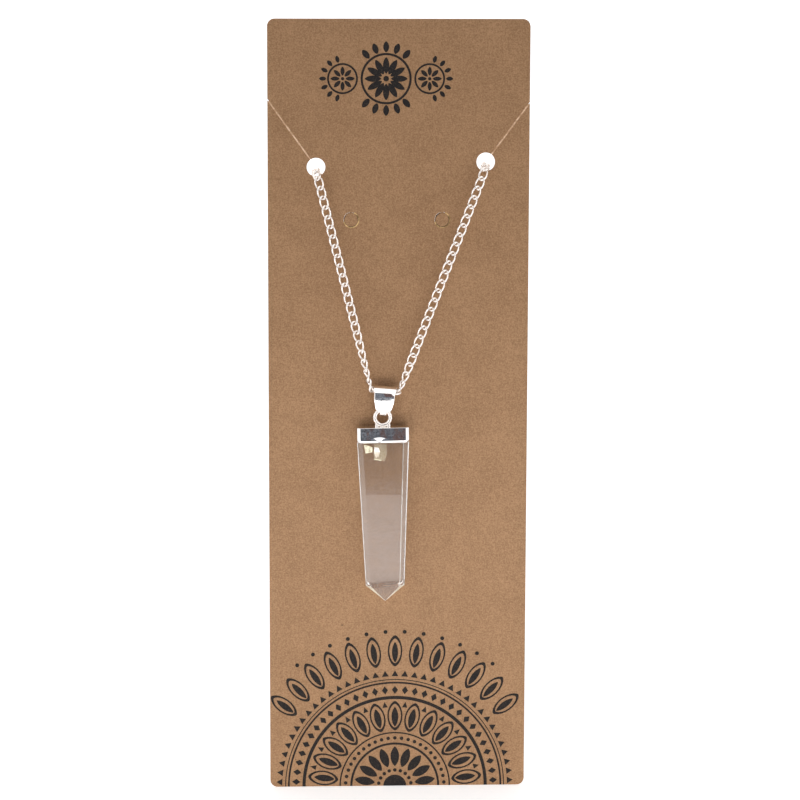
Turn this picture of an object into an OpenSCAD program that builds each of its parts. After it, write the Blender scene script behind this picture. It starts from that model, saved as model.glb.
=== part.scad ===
// Crystal point pendant on a curb chain, hung on its upright display card.
// Millimetres. The origin is the middle of the card's foot, +X runs across
// the card, +Y runs to its back and +Z runs up.

/* [Card] */
// Width of the card
card_w = 70; // [62:1:90]
// Height of the card
card_h = 210; // [192:1:240]
// Thickness of the card
card_t = 0.6; // [0.4:0.1:1]
// Radius of the card's corners
card_corner_r = 2; // [0.5:0.5:6]

/* [Holes, slits and tabs] */
// Diameter of each hole that the chain passes through
hole_d = 5; // [4.8:0.1:6]
// Distance between the two holes
hole_spacing = 45.4; // [38:0.2:50]
// Sideways shift of both holes from the card's centre line
hole_shift = 0.6; // [-2:0.1:2]
// Height of the holes, taken midway between them
hole_z = 171.4; // [165:0.2:178]
// How much higher the right hole sits than the left one
hole_skew = 1.4; // [-2:0.1:2]
// Rise of each slit from its hole to the card's side edge
slit_rise = 16.9; // [8:0.1:19]
// How much more than that the left slit rises, and how much less the right one
slit_skew = 1.1; // [-2:0.1:2]
// Width of each slit
slit_w = 0.22; // [0.2:0.02:0.5]
// Diameter of each round ear tab
tab_d = 4.1; // [3:0.1:6]
// Distance between the two ear tabs
tab_spacing = 24.4; // [18:0.2:30]
// Sideways shift of both ear tabs from the card's centre line
tab_shift = -0.5; // [-2:0.1:2]
// Height of the ear tabs
tab_z = 156.6; // [150:0.2:160]
// Width of the cut round each ear tab
tab_cut_w = 0.12; // [0.1:0.01:0.3]
// Width of the two bridges that hold each ear tab
tab_bridge_w = 0.6; // [0.4:0.1:1]

/* [Chain] */
// Thickness of the link wire
wire_d = 0.48; // [0.42:0.01:0.52]
// Length of one link over its wire
link_l = 4; // [3.94:0.02:4.06]
// Width of one link over its wire
link_w = 2.4; // [2.3:0.02:2.5]
// Wanted distance from one link to the next
link_pitch = 2.68; // [2.64:0.01:2.76]
// Twist of each link from its middle to its ends
link_twist = 50; // [45:1:54]
// Squareness of a link's outline, where 1 is an ellipse and less is boxier
link_square = 0.55; // [0.5:0.05:0.7]
// Height of the chain's lowest run, behind the card
loop_z = 37; // [30:1:60]
// Radius of the two bends of that run
loop_r = 13; // [8:0.5:13.4]
// Gap from a hole's lower rim up to the middle of the chain
rim_rise = 1.6; // [1.5:0.05:2]
// Distance of the chain's middle from the card's middle plane, beside a rim
rim_reach = 3.2; // [3:0.05:3.4]

/* [Clasp] */
// Distance between the two last joints of the chain, over the clasp
clasp_span = 18; // [15:0.5:19]
// Width of the clasp's body
clasp_w = 5; // [4:0.1:6]
// Thickness of the clasp's body
clasp_t = 2; // [1.6:0.1:2.4]
// Outer diameter of each end ring of the clasp
eye_d = 3; // [2.8:0.1:3.4]
// Thickness of the end rings' wire
eye_wire = 0.6; // [0.5:0.05:0.7]

/* [Bail] */
// Height of the middle of the chain inside the bail
hang_z = 109.6; // [100:0.05:115]
// Sideways place of the bail from the card's centre line
hang_shift = -3.85; // [-6:0.05:6]
// Width of the bail at its top
bail_w = 6.2; // [5.4:0.1:6.6]
// Width of the bail level with the ring's top
bail_waist_w = 4.2; // [3:0.1:4.6]
// Width of the strip where it passes under the ring's top
bail_end_w = 1.8; // [1.4:0.1:2]
// Thickness of the bail's strip
bail_t = 0.5; // [0.4:0.05:0.6]
// Inner radius of the bail's upper bend, round the chain
bail_top_r = 2; // [1.95:0.05:2.2]
// Distance from the upper bend's centre down to the lower one's
bail_drop = 4; // [3.3:0.05:4.5]
// Lean of the bail, its foot towards the left
bail_lean = 4.5; // [0:0.5:6]

/* [Ring and cap] */
// Outer diameter of the ring
ring_d = 5.25; // [5:0.05:5.6]
// Thickness of the ring's wire
ring_wire = 1; // [0.9:0.05:1.05]
// Gap left all round the ring's top inside the bail's lower bend
ring_gap = 0.62; // [0.55:0.01:0.7]
// Height of the cap
cap_h = 4; // [3:0.1:6]
// Thickness of the cap's side walls
cap_wall = 0.3; // [0.25:0.05:0.4]
// Thickness of the cap's top
cap_top_t = 0.7; // [0.5:0.05:1]
// How far the cap stands proud of the stone below it
cap_proud = 0; // [0:0.05:0.4]
// Width of the narrow bevels at the cap's corners, seen from the front
cap_bevel = 0.8; // [0.6:0.1:1.6]

/* [Crystal] */
// Width of the stone where it leaves the cap
stone_w = 14; // [11:0.1:17]
// Width of its front facet there
stone_front_w = 11; // [8:0.1:11.6]
// Depth of the stone there
stone_d = 5.4; // [4.6:0.1:8]
// Depth of its side facets there
stone_side_d = 2.4; // [1.4:0.1:3]
// Width of the stone at its shoulder, above the point
shoulder_w = 10.5; // [9:0.1:13.8]
// Width of the front facet at the shoulder
shoulder_front_w = 8; // [6:0.1:8.8]
// Depth of the stone at its shoulder
shoulder_d = 4.4; // [3.4:0.1:5.2]
// Depth of the side facets at the shoulder
shoulder_side_d = 2; // [1.2:0.1:2.8]
// Length of the stone from the cap's rim to the shoulder
stone_l = 39.4; // [25:0.1:45]
// Length of the point below the shoulder
point_l = 4.6; // [3:0.1:7]
// Lean of the hanging stone, its point towards the right
stone_lean = 0.9; // [0:0.1:1.5]
// Gap between the stone and the cap that is set on it
seat_gap = 0.1; // [0.05:0.01:0.15]
// Gap between the card's face and the back of the cap
hang_gap = 0.6; // [0.4:0.1:1.5]

/* [Hidden] */
$fn = 64;

LINK_STEPS = 10;
WIRE_SIDES = 5;
BEND_STEPS = 12;
SIDES = [-1, 1];

cap_w = stone_w + 2 * cap_proud;
cap_front_w = cap_w - 2 * cap_bevel;
cap_d = stone_d + 2 * cap_proud;
cap_side_d = cap_d - 2 * cap_bevel;

// Middle of the chain inside the bail, about which the bail swings
hang = [hang_shift, -(card_t / 2 + hang_gap + cap_d / 2), hang_z];

bail_low_r = ring_wire / 2 + ring_gap;
ring_r = (ring_d - ring_wire) / 2;
// The ring is flattened below the cap's top, and its hole ends above it
ring_sink = 0.4;
ring_stand = 0.8;
// How far to the left the ring has slid in the bail's lower bend
ring_slide = 0.2;
// Solder feet of the ring: sideways place, height, radius below and above
foot_x = 1.6;
foot_h = 1.1;
foot_r = [0.55, 0.45];

// Front outline of the bail: where its flare ends, how wide it is at its middle
// as a share from waist to top, and how far down the strip's narrow end starts
bail_band = 0.4;
bail_flare = 0.6;
bail_taper = 0.6;

// The bail's straight sides stand this far inside its bends
side_set = 0.01;

// Where the chain leaves the bail's mouth and turns up: clear of its edge, above its centre
mouth_clear = 0.65;
mouth_rise = 1.05;
mouth_r = 1.2;

// Share of the reach that the bends over a rim take, with a short straight between
rim_round = 0.97;

EYE_TURNS = [30, 110];

// Roll of the links along each strand: distance from the bail, angle
LEFT_ROLL = [[6, 0], [26, 90]];
RIGHT_ROLL = [[3, 0], [14, 90]];

function unit(v) = v / norm(v);
function hole_x(side) = hole_shift + side * hole_spacing / 2;
function hole_mid_z(side) = hole_z + side * hole_skew / 2;

// The points of an arc of radius r that rounds the corner b between a and c
function bend(a, b, c, r) =
    let (u = unit(a - b), v = unit(c - b), corner = acos(u * v),
         reach = r / tan(corner / 2), sweep = 180 - corner,
         centre = b + unit(u + v) * r / sin(corner / 2),
         from = b + u * reach - centre, to = b + v * reach - centre)
    [for (i = [0 : BEND_STEPS]) let (f = i / BEND_STEPS)
        centre + (from * sin((1 - f) * sweep) + to * sin(f * sweep)) / sin(sweep)];

// Corners of a strand's route with the radius of each, from the bail to the clasp
function route(side) =
    let (x = hole_x(side), over = hole_mid_z(side) - hole_d / 2 + rim_rise,
         end_x = hole_shift + side * clasp_span / 2,
         mouth_x = side * (bail_w / 2 + mouth_clear) + (bail_top_r + bail_t) * sin(bail_lean),
         mouth_z = mouth_rise - side * bail_w / 2 * sin(bail_lean))
    [[hang + [link_pitch / 2, 0, 0], 0],
     // The left strand has the link that lies in the middle of the bail
     if (side < 0) [hang - [link_pitch / 2, 0, 0], mouth_r],
     [hang + [mouth_x, 0, mouth_z], mouth_r],
     [[x, -rim_reach, over], rim_round * rim_reach],
     [[x, rim_reach, over], rim_round * rim_reach],
     [[x, rim_reach, loop_z], loop_r],
     [[end_x, rim_reach, loop_z], 0]];

function path(corners) = let (last = len(corners) - 1)
    [corners[0][0],
     for (i = [1 : last - 1]) each bend(corners[i - 1][0], corners[i][0],
                                        corners[i + 1][0], corners[i][1]),
     corners[last][0]];

function lengths(points) =
    [for (i = 0, s = 0; i < len(points);
          i = i + 1, s = i < len(points) ? s + norm(points[i] - points[i - 1]) : s) s];

// Joints between the links, spread evenly along the route
function joints(points) =
    let (s = lengths(points), total = s[len(s) - 1], count = round(total / link_pitch),
         table = [for (axis = [0 : 2]) [for (i = [0 : len(s) - 1]) [s[i], points[i][axis]]]])
    [for (i = [0 : count]) [for (axis = [0 : 2]) lookup(i * total / count, table[axis])]];

// The vector b, square to t, carried on to be square to the next direction
function carry(b, t, next) = unit(b - (b * next) / (1 + t * next) * (t + next));

function across_all(dirs) =
    [for (i = 0, b = [0, 1, 0]; i < len(dirs);
          i = i + 1, b = i < len(dirs) ? carry(b, dirs[i - 1], dirs[i]) : b) b];

// A point on the middle line of a link's wire, as seen from the link's centre
function on_link(turn, t, b, roll) =
    let (f = boxy(cos(turn)), along = (link_l - wire_d) / 2 * f,
         aside = (link_w - wire_d) / 2 * boxy(sin(turn)), angle = roll + link_twist * f)
    t * along + (b * cos(angle) + cross(t, b) * sin(angle)) * aside;

function boxy(v) = sign(v) * pow(abs(v), link_square);

function link_points(from, to, b, roll) =
    let (mid = (from + to) / 2, t = unit(to - from), step = 360 / LINK_STEPS)
    [for (i = [0 : LINK_STEPS - 1])
        let (p = on_link(i * step, t, b, roll),
             run = unit(on_link((i + 0.5) * step, t, b, roll) - on_link((i - 0.5) * step, t, b, roll)),
             aside = unit(cross(run, p)), out = cross(aside, run))
        for (k = [0 : WIRE_SIDES - 1]) let (a = 360 * k / WIRE_SIDES)
            mid + p + (out * cos(a) + aside * sin(a)) * wire_d / 2];

// Triangles of link number n, a closed ring of wire
function link_faces(n) =
    [for (i = [0 : LINK_STEPS - 1], k = [0 : WIRE_SIDES - 1])
        let (first = n * LINK_STEPS * WIRE_SIDES, j = (i + 1) % LINK_STEPS,
             m = (k + 1) % WIRE_SIDES,
             a = first + i * WIRE_SIDES + k, b = first + i * WIRE_SIDES + m,
             c = first + j * WIRE_SIDES + m, d = first + j * WIRE_SIDES + k)
        each [[a, c, b], [a, d, c]]];

module strand(side, rolls) {
    stops = joints(path(route(side)));
    count = len(stops) - 1;
    dirs = [for (i = [0 : count - 1]) unit(stops[i + 1] - stops[i])];
    across = across_all(dirs);
    polyhedron(
        points = [for (i = [0 : count - 1])
            each link_points(stops[i], stops[i + 1], across[i],
                             lookup((i + 0.5) * link_pitch, rolls))],
        faces = [for (i = [0 : count - 1]) each link_faces(i)]);
}

module chain_left() {
    color("silver") strand(-1, LEFT_ROLL);
}

module chain_right() {
    color("silver") strand(1, RIGHT_ROLL);
}

module card_outline() {
    inner_w = card_w - 2 * card_corner_r;
    inner_h = card_h - 2 * card_corner_r;
    translate([-inner_w / 2, 0]) square([inner_w, card_h]);
    translate([-card_w / 2, card_corner_r]) square([card_w, inner_h]);
    for (x = SIDES, z = [0, 1])
        translate([x * inner_w / 2, card_corner_r + z * inner_h]) circle(r = card_corner_r);
}

module slit(side) {
    run = card_w / 2 - side * hole_x(side);
    rise = slit_rise - side * slit_skew;
    translate([hole_x(side), hole_mid_z(side)])
        rotate(90 - side * atan2(run, rise))
            translate([0, -slit_w / 2]) square([norm([run, rise]) + slit_w, slit_w]);
}

module tab_cut() {
    difference() {
        circle(d = tab_d);
        circle(d = tab_d - 2 * tab_cut_w);
        square([tab_bridge_w, 2 * tab_d], center = true);
    }
}

module card() {
    color("tan")
        translate([0, card_t / 2, 0]) rotate([90, 0, 0]) linear_extrude(card_t)
            difference() {
                card_outline();
                for (side = SIDES) {
                    translate([hole_x(side), hole_mid_z(side)]) circle(d = hole_d);
                    slit(side);
                    translate([tab_shift + side * tab_spacing / 2, tab_z]) tab_cut();
                }
            }
}

// One plain closed clasp, whose end rings cross the last link of each strand
module clasp() {
    overlap = (link_l - link_pitch) / 2;
    eye_x = clasp_span / 2 + overlap - eye_d / 2;
    body_l = 2 * (eye_x - eye_d / 2 + eye_wire);
    color("silver") translate([hole_shift, rim_reach, loop_z]) {
        rotate([90, 0, 0]) linear_extrude(clasp_t, center = true) {
            square([body_l - clasp_w, clasp_w], center = true);
            for (side = SIDES)
                translate([side * (body_l - clasp_w) / 2, 0]) circle(d = clasp_w);
        }
        for (side = SIDES)
            translate([side * eye_x, 0, 0]) rotate([eye_turn(side), 0, 0])
                rotate_extrude() translate([(eye_d - eye_wire) / 2, 0]) circle(d = eye_wire);
    }
}

// Turn of each eye about the clasp's length, so that it crosses the last link's wire
function eye_turn(side) = side < 0 ? EYE_TURNS[0] : EYE_TURNS[1];

// Side view of the bail: two bends joined by straight sides
module bail_side(top_r, low_r) {
    tilt = asin((top_r - low_r) / bail_drop);
    far = [0, -bail_drop];
    right = [cos(tilt), -sin(tilt)];
    left = [-right[0], right[1]];
    circle(r = top_r);
    translate(far) circle(r = low_r);
    polygon([right * (top_r - side_set), left * (top_r - side_set),
             far + left * (low_r - side_set), far + right * (low_r - side_set)]);
}

// Front view of the bail: widths at heights from its upper bend's centre
module bail_front() {
    top = bail_top_r + bail_t;
    foot = -bail_drop - bail_low_r - bail_t;
    waist = -bail_drop;
    middle_w = bail_waist_w + (bail_w - bail_waist_w) * bail_flare;
    half = [[bail_w, top + bail_t], [bail_w, top - bail_band], [middle_w, bail_band],
            [bail_waist_w, waist], [bail_end_w, waist - bail_taper * bail_low_r],
            [bail_end_w, foot - bail_t]];
    last = len(half) - 1;
    polygon([for (p = half) [-p[0] / 2, p[1]], for (i = [last : -1 : 0]) [half[i][0] / 2, half[i][1]]]);
}

module bail() {
    color("silver") translate(hang) rotate([0, bail_lean, 0])
        intersection() {
            rotate([90, 0, 90]) linear_extrude(bail_w + 2, center = true)
                difference() {
                    bail_side(bail_top_r + bail_t, bail_low_r + bail_t);
                    bail_side(bail_top_r, bail_low_r);
                }
            rotate([90, 0, 0]) linear_extrude(4 * bail_top_r, center = true) bail_front();
        }
}

// Centre of the ring's top wire, which the bail's lower bend goes round
ring_top = hang - bail_drop * [sin(bail_lean), 0, cos(bail_lean)] - [ring_slide, 0, 0];

// Places what hangs on the bail: its origin is the centre of the ring's top wire
module hung() {
    translate(ring_top) rotate([0, -stone_lean, 0]) children();
}

// Height of the cap's top, below the centre of the ring's top wire
cap_z = -(2 * ring_r - ring_wire / 2 + ring_stand);

// Plan of the stone or the cap: a rectangle with bevelled corners
function octagon(w, front_w, d, side_d) =
    [[front_w, -d], [w, -side_d], [w, side_d], [front_w, d],
     [-front_w, d], [-w, side_d], [-w, -side_d], [-front_w, -d]] / 2;

// The cap's plan with every side set in by the same amount
function cap_plan(inset) =
    let (bevel = atan2(cap_d - cap_side_d, cap_w - cap_front_w))
    octagon(cap_w - 2 * inset, cap_front_w - 2 * inset * tan(bevel / 2),
            cap_d - 2 * inset, cap_side_d - 2 * inset * tan(45 - bevel / 2));

module cap() {
    color("silver") hung() {
        difference() {
            translate([0, 0, cap_z - cap_h]) linear_extrude(cap_h) polygon(cap_plan(0));
            translate([0, 0, cap_z - 2 * cap_h]) linear_extrude(2 * cap_h - cap_top_t)
                polygon(cap_plan(cap_wall));
        }
        intersection() {
            translate([0, 0, -ring_r]) rotate([90, 0, 0])
                rotate_extrude() translate([ring_r, 0]) circle(d = ring_wire);
            translate([-ring_d, -ring_d, cap_z - ring_sink]) cube(2 * ring_d);
        }
        for (side = SIDES)
            translate([side * foot_x, 0, cap_z - ring_sink / 2])
                cylinder(h = foot_h, r1 = foot_r[0], r2 = foot_r[1]);
    }
}

module crystal() {
    rim = cap_z - cap_h - seat_gap;
    shoulder = rim - stone_l;
    sections = [[rim, stone_w, stone_front_w, stone_d, stone_side_d],
                [shoulder, shoulder_w, shoulder_front_w, shoulder_d, shoulder_side_d]];
    ring = [for (s = sections) for (p = octagon(s[1], s[2], s[3], s[4])) [p[0], p[1], s[0]]];
    color("aliceblue") hung() {
        polyhedron(
            points = concat(ring, [[0, 0, shoulder - point_l]]),
            faces = concat(
                [[for (i = [7 : -1 : 0]) i]],
                [for (i = [0 : 7]) [i, (i + 1) % 8, 8 + (i + 1) % 8, 8 + i]],
                [for (i = [0 : 7]) [8 + i, 8 + (i + 1) % 8, 16]]));
        translate([0, 0, rim]) linear_extrude(cap_h - cap_top_t) polygon(cap_plan(cap_wall + seat_gap));
    }
}

card();
chain_left();
chain_right();
clasp();
bail();
cap();
crystal();
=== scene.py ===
# %% [markdown]
# Crystal point pendant on its display card
#
# This lesson dresses a small necklace: a clear stone point in a silver cap, hung by a bail on a
# curb chain, which itself hangs through an upright kraft card. The construction comes imported
# from model.glb, so nothing here moves or resizes it. Each step says what a piece is on the real
# object, how it could be made in Blender, and why this way was chosen.

# %% Load the imported model
import math

import bmesh
import bpy
from mathutils import Matrix, Vector


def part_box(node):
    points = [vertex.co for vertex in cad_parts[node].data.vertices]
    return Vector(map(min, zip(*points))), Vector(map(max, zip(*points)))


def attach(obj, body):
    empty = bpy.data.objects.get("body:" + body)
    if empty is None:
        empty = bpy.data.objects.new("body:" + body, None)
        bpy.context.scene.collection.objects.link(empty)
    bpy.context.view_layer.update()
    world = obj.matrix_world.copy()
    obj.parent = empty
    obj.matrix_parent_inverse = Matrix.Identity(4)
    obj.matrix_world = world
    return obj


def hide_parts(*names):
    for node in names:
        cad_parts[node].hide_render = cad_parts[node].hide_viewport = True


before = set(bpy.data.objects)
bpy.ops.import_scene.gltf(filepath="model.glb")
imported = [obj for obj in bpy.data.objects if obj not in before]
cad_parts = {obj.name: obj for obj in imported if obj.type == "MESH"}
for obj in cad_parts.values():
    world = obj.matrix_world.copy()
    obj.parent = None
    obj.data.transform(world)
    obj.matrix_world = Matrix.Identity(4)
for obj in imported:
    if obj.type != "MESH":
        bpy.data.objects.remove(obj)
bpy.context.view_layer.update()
MM = 0.001
CARD_BODY = "necklace_on_card"
BAIL_BODY = "bail_loop"
PENDANT_BODY = "pendant"


def mm(x, y, z):
    """A point given in millimetres, as Blender's metres."""
    return Vector((x, y, z)) * MM


def link(name, data):
    """A new object in the scene that shows the given data."""
    thing = bpy.data.objects.new(name, data)
    bpy.context.scene.collection.objects.link(thing)
    return thing


# %% [markdown]
# The camera
#
# The picture was taken from a little above and a little to the left, with a long lens. The
# camera could be aimed by hand until it looks right. Its place and its three angles were
# instead worked out from where the card's corners and holes sit, so the perspective agrees.

# %% Make the camera
CAMERA_PLACE = mm(-31.68, -748.67, 221.17)
CAMERA_TURN = math.radians(2.4617)
CAMERA_DIP = math.radians(8.6084)
CAMERA_ROLL = math.radians(0.1387)
LENS_MM = 126.0
SENSOR_MM = 36.0


def make_camera():
    ahead = Vector((math.sin(CAMERA_TURN) * math.cos(CAMERA_DIP),
                    math.cos(CAMERA_TURN) * math.cos(CAMERA_DIP),
                    -math.sin(CAMERA_DIP)))
    level = Vector((math.cos(CAMERA_TURN), -math.sin(CAMERA_TURN), 0))
    above = level.cross(ahead)
    right = level * math.cos(CAMERA_ROLL) + above * math.sin(CAMERA_ROLL)
    up = above * math.cos(CAMERA_ROLL) - level * math.sin(CAMERA_ROLL)
    data = bpy.data.cameras.new("camera")
    data.lens = LENS_MM
    data.sensor_width = SENSOR_MM
    data.clip_start = 10 * MM
    camera = link("camera", data)
    camera.matrix_world = (Matrix.Translation(CAMERA_PLACE)
                           @ Matrix((right, up, -ahead)).transposed().to_4x4())
    bpy.context.scene.camera = camera
    return camera


camera = make_camera()
print("camera at", [round(c, 3) for c in camera.location], "lens", LENS_MM)

# %% [markdown]
# The colours of the picture
#
# Blender's usual view bends bright colours towards grey, so a white table never turns white.
# Product pictures keep their whites, so the plain view is used, in which a colour of a
# material under even light comes out as that colour.

# %% Choose the plain view
bpy.context.scene.view_settings.view_transform = "Standard"
print("view", bpy.context.scene.view_settings.view_transform)

# %% [markdown]
# Helpers for node trees
#
# Materials and Geometry Nodes are both trees of nodes. Adding and linking them one call at a
# time hides what a tree does. Here a node is added together with its inputs and hands back one
# of its outputs as a value, and a sum written with values becomes the nodes that do the sum.

# %% Node helpers
NOISE_RANGE = (0.35, 0.65)


def fill(node, inputs):
    """Fills a node's inputs, each with a number, a colour, a value to link or a list of values."""
    for key, given in inputs.items():
        socket = node.inputs[key]
        for item in given if isinstance(given, list) else [given]:
            if isinstance(item, Value):
                item.tree.links.new(item.socket, socket)
            else:
                socket.default_value = (*item, 1.0) if socket.type == "RGBA" else item
    return node


def add(tree, kind, inputs=None, output=0, **settings):
    """Adds a node and hands back one of its outputs as a value."""
    node = tree.nodes.new(kind)
    for name, setting in settings.items():
        setattr(node, name, setting)
    return Value(fill(node, inputs or {}).outputs[output])


class Value:
    """What one node hands to the next."""

    def __init__(self, socket):
        self.socket = socket
        self.tree = socket.id_data

    def step(self, operation, other=0.0):
        return add(self.tree, "ShaderNodeMath", {0: self, 1: other}, operation=operation)

    def __add__(self, other):
        return self.step("ADD", other)

    def __sub__(self, other):
        return self.step("SUBTRACT", other)

    def __mul__(self, other):
        return self.step("MULTIPLY", other)

    def __truediv__(self, other):
        return self.step("DIVIDE", other)

    def __pow__(self, power):
        return self.step("POWER", power)

    def __abs__(self):
        return self.step("ABSOLUTE")


def axis(place, name):
    """The X, Y or Z of a place."""
    return add(place.tree, "ShaderNodeSeparateXYZ", {0: place}, name)


def new_material(name):
    """A new material, with its tree and its main shader."""
    material = bpy.data.materials.new(name)
    material.use_nodes = True
    tree = material.node_tree
    return material, tree, tree.nodes["Principled BSDF"]


def show(surface):
    """Makes a shader the surface of its material."""
    fill(surface.tree.nodes["Material Output"], {"Surface": surface})


def object_place(tree, scale=(1, 1, 1)):
    """Object coordinates, stretched where a pattern is longer one way."""
    place = add(tree, "ShaderNodeTexCoord", output="Object")
    return add(tree, "ShaderNodeMapping", {"Vector": place, "Scale": scale})


def noise(place, scale, detail=3.0, roughness=0.6):
    return add(place.tree, "ShaderNodeTexNoise",
               {"Vector": place, "Scale": scale, "Detail": detail, "Roughness": roughness}, "Fac")


def spread(value, low, high, to_low=0.0, to_high=1.0):
    """Maps a value from one range to another and holds it there."""
    return add(value.tree, "ShaderNodeMapRange",
               {"Value": value, "From Min": low, "From Max": high,
                "To Min": to_low, "To Max": to_high})


def blend_colours(share, first, second):
    return add(share.tree, "ShaderNodeMix", {0: share, 6: first, 7: second}, 2, data_type="RGBA")


def bump(height, strength, distance):
    return add(height.tree, "ShaderNodeBump",
               {"Height": height, "Strength": strength, "Distance": distance})


print("helpers ready")

# %% [markdown]
# Kraft card
#
# Kraft board is unbleached pulp: warm brown, matt, with fine fibres that lie in every
# direction, soft cloudy patches and a few dark specks of bark. A photograph of card could be
# used, but procedural noise at several sizes has no edges and can be seen from any distance.
# The fibres are two noises, one stretched along and one stretched up, and the freshly cut
# edges are paler than the pressed faces.

# %% Kraft card finish
KRAFT_DARK = (0.300, 0.163, 0.080)
KRAFT_LIGHT = (0.474, 0.273, 0.142)
KRAFT_EDGE = (0.66, 0.44, 0.27)
KRAFT_SPECK = (0.10, 0.055, 0.03)
FINE_SCALE, FINE_SHARE = 2600.0, 0.55
FIBRE_SCALE, FIBRE_SHARE = 2100.0, 0.28
CLOUD_SCALE, CLOUD_SHARE = 90.0, 0.17
FIBRE_STRETCH = 0.3
KRAFT_TONES = (0.40, 0.60)
SPECK_SCALE = 150.0
SPECK_RIM = (0.05, 0.025)
SPECK_PLACES, SPECK_CHOICE = 95.0, (0.58, 0.62)
SPECK_COVER = 0.75
EDGE_TURN = (0.6, 0.4)
KRAFT_RELIEF = 0.06 * MM


def make_kraft():
    material, tree, shader = new_material("kraft_card")
    place = object_place(tree)
    along = noise(object_place(tree, (FIBRE_STRETCH, 1, 1)), FIBRE_SCALE)
    upright = noise(object_place(tree, (1, 1, FIBRE_STRETCH)), FIBRE_SCALE)
    fibres = along * 0.5 + upright * 0.5
    tone = noise(place, FINE_SCALE) * FINE_SHARE + fibres * FIBRE_SHARE
    tone = tone + noise(place, CLOUD_SCALE, 4.0) * CLOUD_SHARE
    colour = blend_colours(spread(tone, *KRAFT_TONES), KRAFT_DARK, KRAFT_LIGHT)
    cells = add(tree, "ShaderNodeTexVoronoi",
                {"Vector": place, "Scale": SPECK_SCALE, "Randomness": 1.0}, "Distance")
    chosen = spread(noise(place, SPECK_PLACES, 2.0, 0.5), *SPECK_CHOICE)
    speck = spread(cells, *SPECK_RIM) * chosen
    colour = blend_colours(speck * SPECK_COVER, colour, KRAFT_SPECK)
    facing = axis(add(tree, "ShaderNodeNewGeometry", output="Normal"), "Y")
    colour = blend_colours(spread(abs(facing), *EDGE_TURN), colour, KRAFT_EDGE)
    fill(shader, {"Base Color": colour, "Normal": bump(tone, 0.35, KRAFT_RELIEF),
                  "Roughness": 0.5, "Specular IOR Level": 0.2})
    return material


KRAFT = make_kraft()
print("finish", KRAFT.name)

# %% [markdown]
# Printed ink
#
# The design is one pass of near-black ink. Kraft drinks it in, so it stays matt and the fibres
# grin through in places. It is a dark brown rather than a pure black, broken up by fine noise.

# %% Ink finish
INK_DEEP = (0.014, 0.012, 0.012)
INK_THIN = (0.052, 0.038, 0.030)
INK_GRAIN, INK_TONES = 2400.0, (0.48, 0.72)


def make_ink():
    material, tree, shader = new_material("print_ink")
    grain = noise(object_place(tree), INK_GRAIN, 4.0, 0.7)
    fill(shader, {"Base Color": blend_colours(spread(grain, *INK_TONES), INK_DEEP, INK_THIN),
                  "Roughness": 0.7, "Specular IOR Level": 0.2})
    return material


INK = make_ink()
print("finish", INK.name)

# %% [markdown]
# Silver
#
# The metal is bright silver plate, polished but thin, so flat sheet is never quite flat: it
# shows ragged reflections. A mirror finish on its own looks like chrome drawn by computer.
# Broad, shallow bumps bend the reflections, and noise in the roughness leaves faint wipe
# marks. The chain is the same metal, tumbled instead of polished, so it is a little softer.
# The cap's sheet also took a knock low on its front: one hollow, added to the same bumps,
# catches the light as a small white flare in the dark reflection.

# %% Silver finishes
SILVER_COLOUR = (0.955, 0.935, 0.915)
WARM_COLOUR = (0.985, 0.925, 0.880)
POLISHED = (0.05, 0.10)
TUMBLED = (0.20, 0.32)
WIPE_SCALE = 900.0
DENT_PLACE = (-5.2 * MM, -6.3 * MM, 97.4 * MM)
DENT_SHAPE = (0.45, 1.0, 1.0)
DENT_R = 1.1 * MM
DENT_DEPTH = 2.8


def make_silver(name, rough, wave_size, wave_height, metal=1.0, dent=None, colour=SILVER_COLOUR):
    material, tree, shader = new_material(name)
    place = object_place(tree)
    waves = noise(place, 1.0 / wave_size, 2.0, 0.5)
    if dent:
        off = add(tree, "ShaderNodeVectorMath", {0: place, 1: dent}, operation="SUBTRACT")
        off = add(tree, "ShaderNodeVectorMath", {0: off, 1: DENT_SHAPE}, operation="MULTIPLY")
        far = add(tree, "ShaderNodeVectorMath", {0: off}, "Value", operation="LENGTH")
        waves = waves + spread(far, 0.0, DENT_R) * DENT_DEPTH
    marks = noise(object_place(tree, (1, 1, 3)), WIPE_SCALE)
    fill(shader, {"Roughness": spread(marks, *NOISE_RANGE, *rough),
                  "Normal": bump(waves, 1.0, wave_height),
                  "Base Color": colour, "Metallic": metal})
    return material


SILVER = make_silver("silver", POLISHED, 2.0 * MM, 0.01 * MM)
CAP_SILVER = make_silver("silver_cap", POLISHED, 2.8 * MM, 0.06 * MM, dent=DENT_PLACE)
CHAIN_SILVER = make_silver("silver_chain", TUMBLED, 1.2 * MM, 0.01 * MM, 0.85, colour=WARM_COLOUR)
print("finishes", SILVER.name, CAP_SILVER.name, CHAIN_SILVER.name)
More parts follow.
